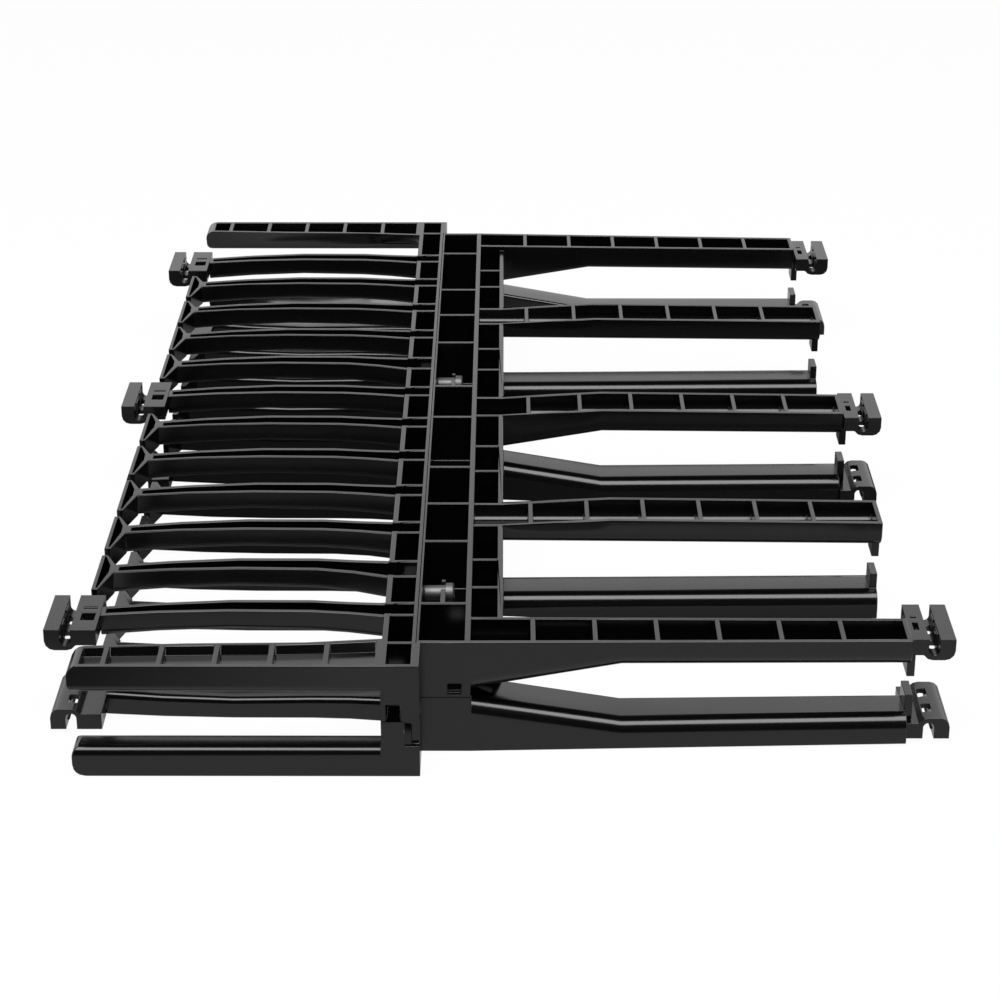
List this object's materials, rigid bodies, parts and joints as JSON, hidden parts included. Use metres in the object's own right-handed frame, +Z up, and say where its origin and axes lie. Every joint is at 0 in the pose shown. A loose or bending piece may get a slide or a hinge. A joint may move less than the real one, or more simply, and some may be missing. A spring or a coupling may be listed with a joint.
{
  "type": "horizontal cable manager",
  "caption": "One rack unit horizontal cable manager: mirrored front and rear plastic combs whose fingers and arms guide cables, with hinge clips at their tips",
  "frame": {"origin": "middle of the two rack holes, on the plane that meets the rack posts and at mid height", "axes": "+X along the rack width, +Y from the front to the rear of the rack, +Z up"},
  "size_m": [0.4826, 0.3232, 0.0436],
  "materials": {
    "comb_plastic": "satin black",
    "clip_plastic": "fine matt black",
    "fastener_steel": "zinc plated"
  },
  "bodies": {
    "root": {"front_upper_comb": "comb_plastic", "front_lower_comb": "comb_plastic", "rear_upper_comb": "comb_plastic", "rear_lower_comb": "comb_plastic", "front_upper_clip_far": "clip_plastic", "front_upper_clip_middle": "clip_plastic", "front_upper_clip_near": "clip_plastic", "front_lower_clip_far": "clip_plastic", "front_lower_clip_middle": "clip_plastic", "front_lower_clip_near": "clip_plastic", "rear_upper_clip_far": "clip_plastic", "rear_upper_clip_middle": "clip_plastic", "rear_upper_clip_near": "clip_plastic", "rear_lower_clip_far": "clip_plastic", "rear_lower_clip_middle": "clip_plastic", "rear_lower_clip_near": "clip_plastic", "joining_screws": "fastener_steel", "joining_nuts": "fastener_steel"}
  },
  "joints": []
}
